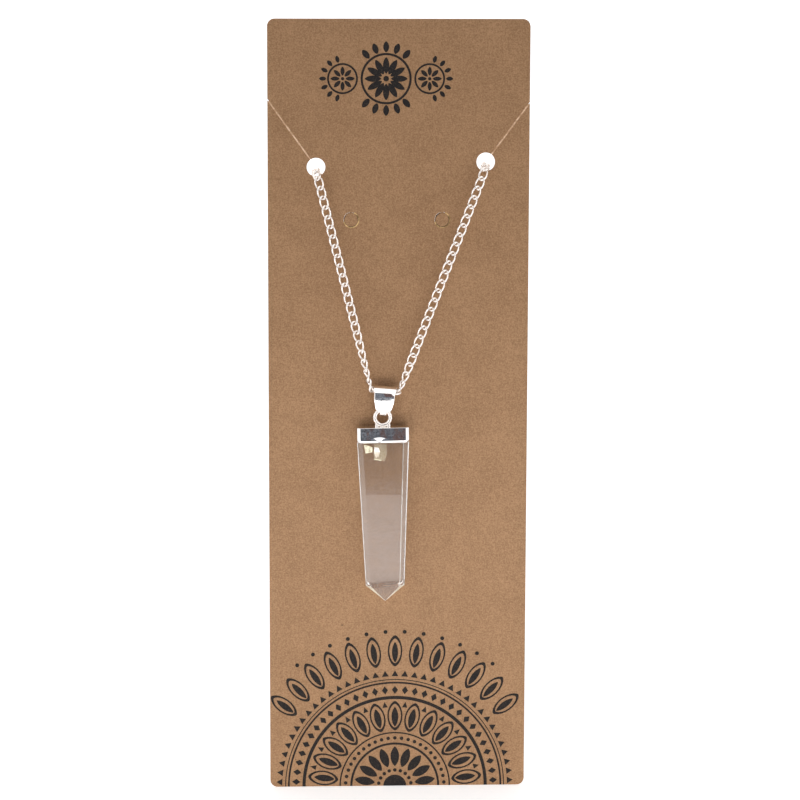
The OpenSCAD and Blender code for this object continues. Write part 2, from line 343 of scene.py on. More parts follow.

# %% [markdown]
# Clear quartz
#
# The stone is rock crystal, refractive index 1.544, cut and polished. It is clear, but not
# like window glass: towards its lower half it carries a faint lilac-grey haze. A volume could
# hold the haze, at the price of noise and time. A small share of a plain pale surface, grown
# downwards along the stone, gives the same look. The facets that gather more light take a
# little more of it, as painted light. The roundings between facets are a touch rougher than
# the facets, so they get a frosted finish of their own, with a small glow of painted light,
# and the point's two side facets a glowing cream one, which is painted light.

# %% Quartz finish
QUARTZ_INDEX = 1.544
QUARTZ_TINT = (0.80, 0.80, 0.80)
HAZE_COLOUR = (0.97, 0.90, 0.87)
HAZE_TOP = 87.5 * MM
HAZE_BEND = 81.4 * MM
HAZE_FULL = 70.0 * MM
HAZE_END = 58.5 * MM
HAZE_FADE = 1.5 * MM
HAZE_LEAST = 0.006
HAZE_SHARE = 0.095
HAZE_AT_BEND = 0.062
# Painted light: the extra share of the pale surface on facets that gather more light.
PAINTED_LIGHT_SHARE = 0.07
HAZE_IN_POINT = 0.45
HAZE_CLOUDS = 160.0
HAZE_PATCHES = (0.3, 0.7, 0.8, 1.1)
EDGE_GRAIN = 700.0
EDGE_FROST = 0.25
# Painted light: the glow of the frosted roundings and of the cream facets of the point.
EDGE_PAINTED_GLOW = 0.28
THINNEST = 0.4


def cover(shader, share, colour):
    """Lays a matt colour over a share of a shader, and shows both."""
    clear = Value(shader.outputs[0])
    matt = add(clear.tree, "ShaderNodeBsdfDiffuse", {"Color": colour})
    show(add(clear.tree, "ShaderNodeMixShader", {0: share, 1: clear, 2: matt}))


def make_quartz(name, painted_share):
    material, tree, shader = new_material(name)
    fill(shader, {"Base Color": QUARTZ_TINT, "Transmission Weight": 1.0, "Roughness": 0.0,
                  "IOR": QUARTZ_INDEX})
    place = object_place(tree)
    height = axis(place, "Z")
    fast = spread(height, HAZE_TOP, HAZE_BEND, HAZE_LEAST + painted_share, HAZE_AT_BEND + painted_share)
    slow = spread(height, HAZE_BEND, HAZE_FULL, 0.0, HAZE_SHARE - HAZE_AT_BEND)
    foot = spread(height, HAZE_END - HAZE_FADE, HAZE_END, HAZE_IN_POINT, 1.0)
    cloud = spread(noise(place, HAZE_CLOUDS, 2.0, 0.5), *HAZE_PATCHES)
    cover(shader, (fast + slow) * foot * cloud, HAZE_COLOUR)
    return material


def make_quartz_edge(name, frost, colour):
    """Lightly frosted quartz that glows as painted light, for the roundings between facets: it
    draws pale lines.
    """
    material, tree, shader = new_material(name)
    fill(shader, {"Base Color": colour, "Transmission Weight": 1.0, "Roughness": EDGE_FROST,
                  "IOR": QUARTZ_INDEX, "Emission Color": colour, "Emission Strength": EDGE_PAINTED_GLOW})
    wear = noise(object_place(tree), EDGE_GRAIN, 2.0, 0.5)
    cover(shader, spread(wear, *NOISE_RANGE, frost * THINNEST, frost), colour)
    return material


QUARTZ = make_quartz("clear_quartz", 0.0)
# The quartz with painted light, for the facets that gather more light.
QUARTZ_PAINTED_LIGHT = make_quartz("clear_quartz_painted_light", PAINTED_LIGHT_SHARE)
# Frosted roundings and cream point facets, both glowing as painted light.
QUARTZ_EDGE = make_quartz_edge("quartz_edge", 0.9, (0.97, 0.94, 0.88))
QUARTZ_PAINTED_CREAM = make_quartz_edge("quartz_cream_painted_light", 0.6, (0.93, 0.86, 0.68))
print("finishes", QUARTZ.name, QUARTZ_EDGE.name, "index", QUARTZ_INDEX)

# %% [markdown]
# Healed cracks
#
# Near the top left of the stone's front lie a few tiny healed cracks, which catch the light as
# cream and white flakes. They are thin films inside the stone, so a pale, half-clear finish
# suits them, with a small glow of painted light. The same kind of finish also makes the painted
# highlights and the painted shade at the stone's shoulder.

# %% Flake finish
FLAKE_GRAIN = 1100.0
FLAKE_PATCHES = (0.35, 0.6)


def make_flake_finish(name, colour, glow, full):
    """A film that covers in patches; its glow is painted light, for light that the stone gathers.
    """
    material, tree, shader = new_material(name)
    tree.nodes.remove(shader)
    grain = noise(object_place(tree), FLAKE_GRAIN)
    film = add(tree, "ShaderNodeBsdfDiffuse", {"Color": colour})
    shine = add(tree, "ShaderNodeEmission", {"Color": colour, "Strength": glow})
    lit = add(tree, "ShaderNodeAddShader", {0: film, 1: shine})
    clear = add(tree, "ShaderNodeBsdfTransparent")
    patches = spread(grain, *FLAKE_PATCHES, full * THINNEST, full)
    show(add(tree, "ShaderNodeMixShader", {0: patches, 1: clear, 2: lit}))
    return material


CREAM_FLAKE = make_flake_finish("cream_flake", (0.88, 0.84, 0.66), 0.50, 0.85)
WHITE_FLAKE = make_flake_finish("white_flake", (0.95, 0.90, 0.86), 0.60, 0.9)
VEIL_FLAKE = make_flake_finish("veil_flake", (0.66, 0.58, 0.42), 0.25, 0.34)
# Painted shade: a dark film for the stone's back shoulder seen through the front.
PAINTED_SHADE_FLAKE = make_flake_finish("shade_flake", (0.24, 0.12, 0.055), 0.0, 0.85)
print("finishes", CREAM_FLAKE.name, WHITE_FLAKE.name, VEIL_FLAKE.name, PAINTED_SHADE_FLAKE.name)

# %% [markdown]
# The card
#
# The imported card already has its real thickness, rounded corners, punched holes, slits and ear
# tabs, all cut through. It stays as it is and only takes its finish.

# %% Dress the card


def dress(node, material):
    """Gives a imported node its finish."""
    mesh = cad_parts[node].data
    mesh.materials.clear()
    mesh.materials.append(material)


dress("card", KRAFT)
CARD_LOW, CARD_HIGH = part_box("card")
CARD_FRONT = CARD_LOW.y
CARD_SIZE = CARD_HIGH - CARD_LOW
print("card", [round(s / MM, 1) for s in CARD_SIZE], "mm, front at", round(CARD_FRONT / MM, 2))

# %% [markdown]
# Turning a modifier into a mesh
#
# Geometry Nodes and bevels stay live until something evaluates them. The finished model needs
# plain meshes, one for each piece, so each object is evaluated once, its result is kept and
# the modifier goes. The piece then rides the body that carries it on the real object.

# %% Finishing helpers


def mesh_from(name, draw):
    """A new mesh, drawn by a function."""
    form = bmesh.new()
    draw(form)
    mesh = bpy.data.meshes.new(name)
    form.to_mesh(mesh)
    form.free()
    return mesh


def settle(thing):
    """Swaps an object's mesh for what its modifiers make of it."""
    bpy.context.view_layer.update()
    graph = bpy.context.evaluated_depsgraph_get()
    result = bpy.data.meshes.new_from_object(thing.evaluated_get(graph))
    thing.modifiers.clear()
    thing.data = result
    result.name = thing.name
    return thing


def smooth(thing, degrees=35.0, flat_area=1.0):
    """Shades soft bends smooth, and keeps corners sharp and large faces flat."""
    limit = math.radians(degrees)
    mesh = thing.data
    form = bmesh.new()
    form.from_mesh(mesh)
    for face in form.faces:
        face.smooth = face.calc_area() < flat_area
    for edge in form.edges:
        edge.smooth = len(edge.link_faces) == 2 and edge.calc_face_angle(0.0) < limit
    form.to_mesh(mesh)
    form.free()
    return thing


def finish_piece(thing, body, material=None, stands_for=()):
    """Gives a piece its finish and its body, and hides the imported parts that it stands for."""
    if material:
        thing.data.materials.clear()
        thing.data.materials.append(material)
    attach(thing, body)
    if stands_for:
        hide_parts(*stands_for)
    print(thing.name, "rides", body, "with", len(thing.data.polygons), "faces")
    return thing


# %% [markdown]
# The way of the chain
#
# The chain is one loop: out of the bail, up both sides of the card's front, over the lower
# rims of the two holes and down behind, where a clasp closes it. Its route is a few corners,
# each rounded with an arc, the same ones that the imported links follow. Joints are spread along
# it at an even pitch, and a link spans each pair of joints.

# %% The route's sizes and corners
HANG = mm(-3.85, -3.6, 109.6)
HOLE_SHIFT = 0.6 * MM
HOLE_SPACING = 45.4 * MM
HOLE_D = 5.0 * MM
HOLE_Z = 171.4 * MM
HOLE_SKEW = 1.4 * MM
LINK_PITCH = 2.68 * MM
LOOP_Z = 37.0 * MM
LOOP_R = 13.0 * MM
RIM_RISE = 1.6 * MM
RIM_REACH = 3.2 * MM
RIM_ROUND = 0.97
CLASP_SPAN = 18.0 * MM
BAIL_W = 6.2 * MM
BAIL_T = 0.5 * MM
BAIL_TOP_R = 2.0 * MM
BAIL_LEAN = math.radians(4.5)
MOUTH_CLEAR = 0.65 * MM
MOUTH_RISE = 1.05 * MM
MOUTH_R = 1.2 * MM
BEND_STEPS = 12
LEFT, RIGHT = -1, 1


def route(side):
    """Corners of one strand from the bail to the clasp, each with its radius."""
    x = HOLE_SHIFT + side * HOLE_SPACING / 2
    over = HOLE_Z + side * HOLE_SKEW / 2 - HOLE_D / 2 + RIM_RISE
    mouth_x = side * (BAIL_W / 2 + MOUTH_CLEAR) + (BAIL_TOP_R + BAIL_T) * math.sin(BAIL_LEAN)
    mouth_z = MOUTH_RISE - side * BAIL_W / 2 * math.sin(BAIL_LEAN)
    half_link = Vector((LINK_PITCH / 2, 0, 0))
    corners = [(HANG + half_link, 0)]
    if side == LEFT:
        corners.append((HANG - half_link, MOUTH_R))
    corners.append((HANG + Vector((mouth_x, 0, mouth_z)), MOUTH_R))
    corners.append((Vector((x, -RIM_REACH, over)), RIM_ROUND * RIM_REACH))
    corners.append((Vector((x, RIM_REACH, over)), RIM_ROUND * RIM_REACH))
    corners.append((Vector((x, RIM_REACH, LOOP_Z)), LOOP_R))
    corners.append((Vector((HOLE_SHIFT + side * CLASP_SPAN / 2, RIM_REACH, LOOP_Z)), 0))
    return corners


def bend(before, corner, after, radius):
    """Points of the arc that rounds a corner."""
    u = (before - corner).normalized()
    v = (after - corner).normalized()
    angle = u.angle(v)
    reach = radius / math.tan(angle / 2)
    sweep = math.pi - angle
    centre = corner + (u + v).normalized() * radius / math.sin(angle / 2)
    start = corner + u * reach - centre
    end = corner + v * reach - centre
    points = []
    for i in range(BEND_STEPS + 1):
        share = i / BEND_STEPS
        mixed = start * math.sin((1 - share) * sweep) + end * math.sin(share * sweep)
        points.append(centre + mixed / math.sin(sweep))
    return points


def path(corners):
    points = [corners[0][0]]
    for before, (corner, radius), after in zip(corners, corners[1:], corners[2:]):
        points += bend(before[0], corner, after[0], radius)
    return points + [corners[-1][0]]


# %% Joints, directions and rolls
LEFT_ROLL = ((6.0, 0.0), (26.0, 90.0))
RIGHT_ROLL = ((3.0, 0.0), (14.0, 90.0))


def joints(points):
    """Places at an even pitch along the route."""
    lengths = [0.0]
    for a, b in zip(points, points[1:]):
        lengths.append(lengths[-1] + (b - a).length)
    count = round(lengths[-1] / LINK_PITCH)
    stops = []
    k = 0
    for i in range(count + 1):
        at = i * lengths[-1] / count
        while k < len(lengths) - 2 and lengths[k + 1] < at:
            k += 1
        share = (at - lengths[k]) / (lengths[k + 1] - lengths[k])
        stops.append(points[k].lerp(points[k + 1], share))
    return stops


def roll_at(distance, rolls):
    """Roll of the links at a distance from the bail, in radians."""
    (near, first), (far, last) = rolls
    share = min(max((distance / MM - near) / (far - near), 0.0), 1.0)
    return math.radians(first + (last - first) * share)


def link_frames(side, rolls):
    """Middle, direction and sideways vector of each link of one strand."""
    stops = joints(path(route(side)))
    across = Vector((0, 1, 0))
    last = None
    frames = []
    for i, (a, b) in enumerate(zip(stops, stops[1:])):
        along = (b - a).normalized()
        if last is not None:
            across = across - (last + along) * (across.dot(along) / (1 + last.dot(along)))
            across.normalize()
        last = along
        roll = roll_at((i + 0.5) * LINK_PITCH, rolls)
        aside = across * math.cos(roll) + along.cross(across) * math.sin(roll)
        frames.append(((a + b) / 2, along, aside))
    return frames


LEFT_FRAMES = link_frames(LEFT, LEFT_ROLL)
RIGHT_FRAMES = link_frames(RIGHT, RIGHT_ROLL)
print("links", len(LEFT_FRAMES), "left and", len(RIGHT_FRAMES), "right")

# %% [markdown]
# One link, many times
#
# A curb link is an oval of round wire, twisted so that it lies flat against its neighbours.
# Modelling a link and copying it by hand would work for ten of them, not for a whole
# necklace. Geometry Nodes draw the link once from its sizes, as a circle whose points are
# moved to a rounded, twisted oval, sweep a round wire along it, and place an instance on
# every point with the direction that the point carries.

# %% Geometry Nodes tree for the links
SOCKET_KINDS = {float: "NodeSocketFloat", int: "NodeSocketInt",
                Vector: "NodeSocketVector", type(None): "NodeSocketMaterial"}


def new_tree(name, sockets):
    """A geometry tree with a named input for each default, None standing for a material."""
    tree = bpy.data.node_groups.new(name, "GeometryNodeTree")
    for way in ("OUTPUT", "INPUT"):
        tree.interface.new_socket(name="Geometry", in_out=way, socket_type="NodeSocketGeometry")
    for title, default in sockets.items():
        kind = SOCKET_KINDS[type(default)]
        socket = tree.interface.new_socket(name=title, in_out="INPUT", socket_type=kind)
        if default is not None:
            socket.default_value = default
    inputs = tree.nodes.new("NodeGroupInput").outputs
    return tree, {socket.name: Value(socket) for socket in inputs if socket.name}


def end_tree(placed, finish):
    """Ends a tree: makes instances real and gives them their finish."""
    real = add(placed.tree, "GeometryNodeRealizeInstances", {0: placed})
    done = add(placed.tree, "GeometryNodeSetMaterial", {"Geometry": real, "Material": finish})
    fill(placed.tree.nodes.new("NodeGroupOutput"), {0: done})
    return placed.tree


def combine(tree, x=0.0, y=0.0, z=0.0):
    return add(tree, "ShaderNodeCombineXYZ", {0: x, 1: y, 2: z})


def attribute(tree, name):
    """A vector that each point carries."""
    node = tree.nodes.new("GeometryNodeInputNamedAttribute")
    node.data_type = "FLOAT_VECTOR"
    fill(node, {"Name": name})
    return Value(next(socket for socket in node.outputs if socket.enabled))


def squarer(value, power):
    """The value's size raised to a power, with its sign kept."""
    return value.step("SIGN") * abs(value) ** power


def make_link_tree():
    tree, given = new_tree("curb_links", {
        "Link Length": 4.0 * MM, "Link Width": 2.4 * MM, "Wire": 0.5 * MM, "Twist": 0.8,
        "Squareness": 0.6, "Steps": 16, "Wire Sides": 6, "Finish": None})
    circle = add(tree, "GeometryNodeCurvePrimitiveCircle",
                 {"Resolution": given["Steps"], "Radius": 1.0})
    turn = add(tree, "GeometryNodeInputPosition")
    length = (given["Link Length"] - given["Wire"]) * 0.5
    width = (given["Link Width"] - given["Wire"]) * 0.5
    boxy_along = squarer(axis(turn, "X"), given["Squareness"])
    aside = squarer(axis(turn, "Y"), given["Squareness"]) * width
    angle = boxy_along * given["Twist"]
    oval = combine(tree, aside * angle.step("COSINE"), aside * angle.step("SINE"),
                   boxy_along * length)
    line = add(tree, "GeometryNodeSetPosition", {"Geometry": circle, "Position": oval})
    wire = add(tree, "GeometryNodeCurvePrimitiveCircle",
               {"Resolution": given["Wire Sides"], "Radius": given["Wire"] * 0.5})
    ring = add(tree, "GeometryNodeCurveToMesh", {"Curve": line, "Profile Curve": wire})
    soft = add(tree, "GeometryNodeSetShadeSmooth", {"Geometry": ring})
    facing = add(tree, "FunctionNodeAxesToRotation",
                 {"Primary Axis": attribute(tree, "along"),
                  "Secondary Axis": attribute(tree, "aside")},
                 primary_axis="Z", secondary_axis="X")
    placed = add(tree, "GeometryNodeInstanceOnPoints",
                 {"Points": given["Geometry"], "Instance": soft, "Rotation": facing})
    return end_tree(placed, given["Finish"])


def apply_tree(thing, tree, values):
    """Runs a geometry tree on an object with named values and keeps the mesh."""
    modifier = thing.modifiers.new(tree.name, "NODES")
    modifier.node_group = tree
    for item in tree.interface.items_tree:
        if item.item_type == "SOCKET" and item.in_out == "INPUT" and item.name in values:
            modifier[item.identifier] = values[item.name]
    return settle(thing)


LINK_TREE = make_link_tree()
print("tree", LINK_TREE.name, "with", len(LINK_TREE.nodes), "nodes")

# %% [markdown]
# The two strands
#
# Each strand starts as a bare set of points, one in the middle of each link, that carry the
# link's direction and its sideways vector. The links are drawn a little fuller than the
# imported ones, because many-sided wire has no corners to keep clear of the next link.

# %% Make the strands
LINK_LENGTH = 4.15 * MM
LINK_WIDTH = 2.6 * MM
LINK_WIRE = 0.57 * MM
LINK_TWIST = math.radians(48.0)
LINK_SQUARENESS = 0.8


def strand(name, frames, node):
    mesh = bpy.data.meshes.new(name)
    mesh.from_pydata([middle for middle, _, _ in frames], [], [])
    for index, key in ((1, "along"), (2, "aside")):
        layer = mesh.attributes.new(key, "FLOAT_VECTOR", "POINT")
        layer.data.foreach_set("vector", [c for row in frames for c in row[index]])
    links = apply_tree(link(name, mesh), LINK_TREE, {
        "Link Length": LINK_LENGTH, "Link Width": LINK_WIDTH, "Wire": LINK_WIRE,
        "Twist": LINK_TWIST, "Squareness": LINK_SQUARENESS, "Finish": CHAIN_SILVER})
    return finish_piece(links, CARD_BODY, None, [node])


strand("strand_left", LEFT_FRAMES, "chain_left")
strand("strand_right", RIGHT_FRAMES, "chain_right")

# %% [markdown]
# Bevelled solids
#
# No edge on a real piece is perfectly sharp, and it is the narrow rounding that catches the
# light. Solids are built from rings of corners joined by faces, then bevelled: the bevel is a
# modifier, so its width is one number, and it is settled into the mesh at once.

# %% Solid helpers
WELD = 1e-7


def solid(name, build):
    """A new object whose mesh the build function draws."""
    def draw(form):
        build(form)
        bmesh.ops.remove_doubles(form, verts=form.verts, dist=WELD)
        bmesh.ops.recalc_face_normals(form, faces=form.faces)
    return link(name, mesh_from(name, draw))


def bridge(form, rings, closed_ends=True):
    """Joins rings of points with faces, and caps both ends."""
    rows = [[form.verts.new(point) for point in ring] for ring in rings]
    for low, high in zip(rows, rows[1:]):
        for i in range(len(low)):
            j = (i + 1) % len(low)
            form.faces.new((low[i], low[j], high[j], high[i]))
    if closed_ends:
        form.faces.new(list(reversed(rows[0])))
        form.faces.new(rows[-1])


def bevelled(thing, width, segments=3, degrees=25.0, material=-1):
    edge = thing.modifiers.new("edge", "BEVEL")
    edge.material = material
    edge.width = width
    edge.segments = segments
    edge.limit_method = "ANGLE"
    edge.angle_limit = math.radians(degrees)
    return settle(thing)


def turns(count):
    """Cosine and sine of even steps round a whole turn."""
    angles = [2 * math.pi * i / count for i in range(count)]
    return [(math.cos(a), math.sin(a)) for a in angles]


def wire_ring(radius, wire, steps, sides, place):
    """A builder for a closed ring of round wire, drawn flat on the ground and then placed."""
    def build(form):
        rings = []
        for cosine, sine in turns(steps):
            section = [(radius + wire / 2 * out, wire / 2 * up) for out, up in turns(sides)]
            rings.append([(reach * cosine, reach * sine, z) for reach, z in section])
        bridge(form, rings + rings[:1], closed_ends=False)
        bmesh.ops.transform(form, matrix=place, verts=form.verts)
    return build


# %% [markdown]
# The bail
#
# The bail is a tapered strip of sheet, bent round the chain and closed round the ring. Its
# side view is two arcs joined by straight tangents, and its width falls from the top to the
# narrow end. Sweeping a section along a curve would twist it, so the strip is drawn ring by
# ring: at each step of the side view four corners, outer and inner, as wide as the strip is
# at that height.

# %% Make the bail
BAIL_DROP = 4.0 * MM
BAIL_LOW_R = 1.12 * MM
BAIL_WIDTHS = ((2.1, 6.2), (0.4, 5.45), (-0.9, 5.3), (-1.6, 5.25), (-2.4, 4.95), (-4.0, 4.15),
               (-4.67, 1.8))
BAIL_ARC_STEPS = 40
BAIL_SIDE_STEPS = 10
BAIL_EDGE = 0.13 * MM
BAIL_BULGE = 0.07 * MM


def bail_width(height):
    """Width of the strip at a height over the upper bend's centre."""
    table = [(h * MM, w * MM) for h, w in BAIL_WIDTHS]
    if height >= table[0][0]:
        return table[0][1]
    for (upper, wide), (lower, narrow) in zip(table, table[1:]):
        if height >= lower:
            return narrow + (wide - narrow) * (height - lower) / (upper - lower)
    return table[-1][1]


def bail_side(top_r, low_r):
    """Closed side view as (depth, height) points, the front at negative depth."""
    tilt = math.asin((top_r - low_r) / BAIL_DROP)
    points = []
    for start, end, radius, drop in ((-tilt, math.pi + tilt, top_r, 0.0),
                                     (math.pi + tilt, 2 * math.pi - tilt, low_r, BAIL_DROP)):
        arc = [start + (end - start) * i / BAIL_ARC_STEPS for i in range(BAIL_ARC_STEPS + 1)]
        new = [(radius * math.cos(a), radius * math.sin(a) - drop) for a in arc]
        if points:
            points += straight(points[-1], new[0])
        points += new
    return points + straight(points[-1], points[0])


def straight(a, b):
    """A side of the bail: nearly straight, as bent sheet bulges a little."""
    bulge = BAIL_BULGE * (1 if a[0] > 0 else -1)
    steps = [i / BAIL_SIDE_STEPS for i in range(1, BAIL_SIDE_STEPS)]
    return [(a[0] + (b[0] - a[0]) * s + 4 * bulge * s * (1 - s), a[1] + (b[1] - a[1]) * s)
            for s in steps]


def build_bail(form):
    outer = bail_side(BAIL_TOP_R + BAIL_T, BAIL_LOW_R + BAIL_T)
    inner = bail_side(BAIL_TOP_R, BAIL_LOW_R)
    rings = []
    for (y_out, z_out), (y_in, z_in) in zip(outer, inner):
        w_out = bail_width(z_out) / 2
        w_in = bail_width(z_in) / 2
        rings.append([(-w_out, y_out, z_out), (w_out, y_out, z_out),
                      (w_in, y_in, z_in), (-w_in, y_in, z_in)])
    bridge(form, rings + rings[:1], closed_ends=False)
    lean = Matrix.Translation(HANG) @ Matrix.Rotation(BAIL_LEAN, 4, "Y")
    bmesh.ops.transform(form, matrix=lean, verts=form.verts)


bail = smooth(bevelled(solid("bail_strip", build_bail), BAIL_EDGE, 3, 40.0))
finish_piece(bail, BAIL_BODY, SILVER, ["bail"])

# %% [markdown]
# The cap and its ring
#
# The cap is a shallow box of thin sheet with bevelled corners, pressed over the stone. A ring
# of round wire is soldered upright on it, with two small feet of solder. The box, the ring
# and the feet are drawn apart and then joined with a boolean, because soldered metal is one
# piece: the joint leaves no gap and no hidden faces.

# %% Make the cap
HANG_DOWN = Vector((-math.sin(BAIL_LEAN), 0, -math.cos(BAIL_LEAN)))
RING_SLIDE = 0.2 * MM
RING_TOP = HANG + BAIL_DROP * HANG_DOWN - Vector((RING_SLIDE, 0, 0))
STONE_LEAN = math.radians(-0.9)
HUNG = Matrix.Translation(RING_TOP) @ Matrix.Rotation(STONE_LEAN, 4, "Y")
CAP_PLAN = (14.0, 12.4, 5.4, 3.8)
CAP_WALL = 0.3 * MM
CAP_TOP_T = 0.7 * MM
CAP_Z = -4.55 * MM
CAP_H = 4.0 * MM
CAP_EDGE = 0.10 * MM
CAP_TURN_IN = 0.10 * MM
CAP_TURN_H = 0.45 * MM
RING_R = 2.07 * MM
RING_WIRE = 1.11 * MM
RING_SINK = 0.4 * MM
FOOT_X = 1.6 * MM
FOOT_RADII = (0.55 * MM, 0.45 * MM)
FOOT_H = 1.1 * MM
FOOT_LIP = 0.05 * MM
CAP_FLAT_AREA = 2 * MM * MM
RING_STEPS = 64
WIRE_STEPS = 20


def octagon(wide, front_wide, deep, side_deep, inset, z):
    """A rectangle with bevelled corners, set in by the same amount on every side."""
    bevel = math.atan2(deep - side_deep, wide - front_wide)
    w = wide / 2 * MM - inset
    f = front_wide / 2 * MM - inset * math.tan(bevel / 2)
    d = deep / 2 * MM - inset
    s = side_deep / 2 * MM - inset * math.tan(math.pi / 4 - bevel / 2)
    plan = [(f, -d), (w, -s), (w, s), (f, d), (-f, d), (-w, s), (-w, -s), (-f, -d)]
    return [(x, y, z) for x, y in plan]


def build_shell(form):
    """The box: up the outside, then down the inside from the rim to the ceiling."""
    rings = [octagon(*CAP_PLAN, CAP_WALL, CAP_Z - CAP_TOP_T),
             octagon(*CAP_PLAN, CAP_WALL, CAP_Z - CAP_H),
             octagon(*CAP_PLAN, CAP_TURN_IN, CAP_Z - CAP_H),
             octagon(*CAP_PLAN, 0.0, CAP_Z - CAP_H + CAP_TURN_H),
             octagon(*CAP_PLAN, 0.0, CAP_Z)]
    bridge(form, rings)


def build_ring(form):
    """The ring, stood up, with what would reach through the cap's top pressed flat."""
    wire_ring(RING_R, RING_WIRE, RING_STEPS, WIRE_STEPS, Matrix())(form)
    for vert in form.verts:
        up, across, forward = vert.co
        vert.co = (across, forward, max(up - RING_R, CAP_Z - RING_SINK))


def build_foot(side):
    """One cone of solder."""
    def build(form):
        wide, narrow = FOOT_RADII
        low = CAP_Z - RING_SINK / 2
        rings = []
        for radius, z in ((wide, low), (wide, CAP_Z + FOOT_LIP), (narrow, low + FOOT_H)):
            rings.append([(side * FOOT_X + radius * cosine, radius * sine, z)
                          for cosine, sine in turns(WIRE_STEPS)])
        bridge(form, rings)
    return build


def fuse(base, others):
    """Joins solids into one skin."""
    for other in others:
        joint = base.modifiers.new("solder", "BOOLEAN")
        joint.operation = "UNION"
        joint.material_mode = "TRANSFER"
        joint.solver = "EXACT"
        joint.object = other
        settle(base)
        bpy.data.objects.remove(other)
    return base


def painted(thing, material):
    thing.data.materials.append(material)
    return thing


cap = painted(bevelled(solid("cap_with_ring", build_shell), CAP_EDGE, 3, 20.0), CAP_SILVER)
soldered = [solid("ring", build_ring), solid("foot_a", build_foot(LEFT)),
            solid("foot_b", build_foot(RIGHT))]
cap = fuse(cap, [painted(part, CHAIN_SILVER) for part in soldered])
cap.data.transform(HUNG)
finish_piece(smooth(cap, 38.0, CAP_FLAT_AREA), PENDANT_BODY, None, ["cap"])

# %% [markdown]
# The stone
#
# The stone's flat facets are already right in the imported model. Its mesh is loose triangles,
# so a copy is merged, its coplanar triangles are dissolved into whole facets, and the edges
# get a very fine bevel in the frosted finish, whose glow is painted light: on a polished stone
# these show as the bright lines between facets. The left slope and the front of the point
# gather more light than the rest, so they take the quartz with painted light, and the point's
# side facets take the glowing cream finish, also painted light. A clear stone throws almost no
# shadow on what lies just behind it, so it throws none.

# %% Make the stone
STONE_EDGE = 0.22 * MM
FACET_WELD = 1e-6
FACET_FLAT = math.radians(0.3)
CLEAR, EDGE, PAINTED_CREAM, PAINTED_LIT = range(4)
STONE_FINISHES = (QUARTZ, QUARTZ_EDGE, QUARTZ_PAINTED_CREAM, QUARTZ_PAINTED_LIGHT)
POINT_DOWN = -0.1
POINT_ASIDE = 0.4
SLOPE_LEFT = -0.3
SLOPE_FRONT = -0.1
SHOULDER_LEVEL = 0.1
SHOULDER_DOWN = -0.05
CORNER_LEFT = (-0.7, -0.1)


def merged_copy(node, name):
    """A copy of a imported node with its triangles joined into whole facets."""
    def draw(form):
        form.from_mesh(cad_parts[node].data)
        bmesh.ops.remove_doubles(form, verts=form.verts, dist=FACET_WELD)
        bmesh.ops.dissolve_limit(form, angle_limit=FACET_FLAT, verts=form.verts, edges=form.edges)
    return link(name, mesh_from(name, draw))


def facet_finish(finish, facing):
    """The finish that a facet takes, from the one it has and the way it faces."""
    # Where light gathers, facets and edges take finishes with painted light; the shoulder's front
    # edge keeps the clear one.
    if finish == CLEAR and facing.z < POINT_DOWN:
        return PAINTED_CREAM if abs(facing.x) > POINT_ASIDE else PAINTED_LIT
    if finish == CLEAR and facing.x < SLOPE_LEFT and facing.y < SLOPE_FRONT:
        return PAINTED_LIT
    if finish == EDGE and abs(facing.x) < SHOULDER_LEVEL and facing.z < SHOULDER_DOWN:
        return CLEAR
    left = CORNER_LEFT[0] < facing.x < CORNER_LEFT[1]
    if finish == EDGE and left and facing.y < 0.0 and facing.z > POINT_DOWN:
        return PAINTED_LIT
    return finish


stone = merged_copy("crystal", "quartz_point")
stone.data.materials.clear()
for finish in STONE_FINISHES:
    stone.data.materials.append(finish)
stone = bevelled(stone, STONE_EDGE, segments=2, degrees=8.0, material=EDGE)
stone.data.shade_flat()
for facet in stone.data.polygons:
    facet.material_index = facet_finish(facet.material_index, facet.normal)
stone.visible_shadow = False
finish_piece(stone, PENDANT_BODY, None, ["crystal"])
STONE_LOW, STONE_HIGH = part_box("crystal")
print("stone", [round(s / MM, 1) for s in STONE_HIGH - STONE_LOW], "mm")

# %% [markdown]
# Flakes in the stone
#
# Each healed crack is a thin, ragged plate, drawn as an outline of a few corners and given a
# real though tiny thickness. Four of them lie just behind the front facet under the cap. At the
# shoulder two more plates of the same kind are painted highlights that glint in the corners,
# and a band of painted shade with a darker upper line stands for the uneven back shoulder,
# which shows through the front.

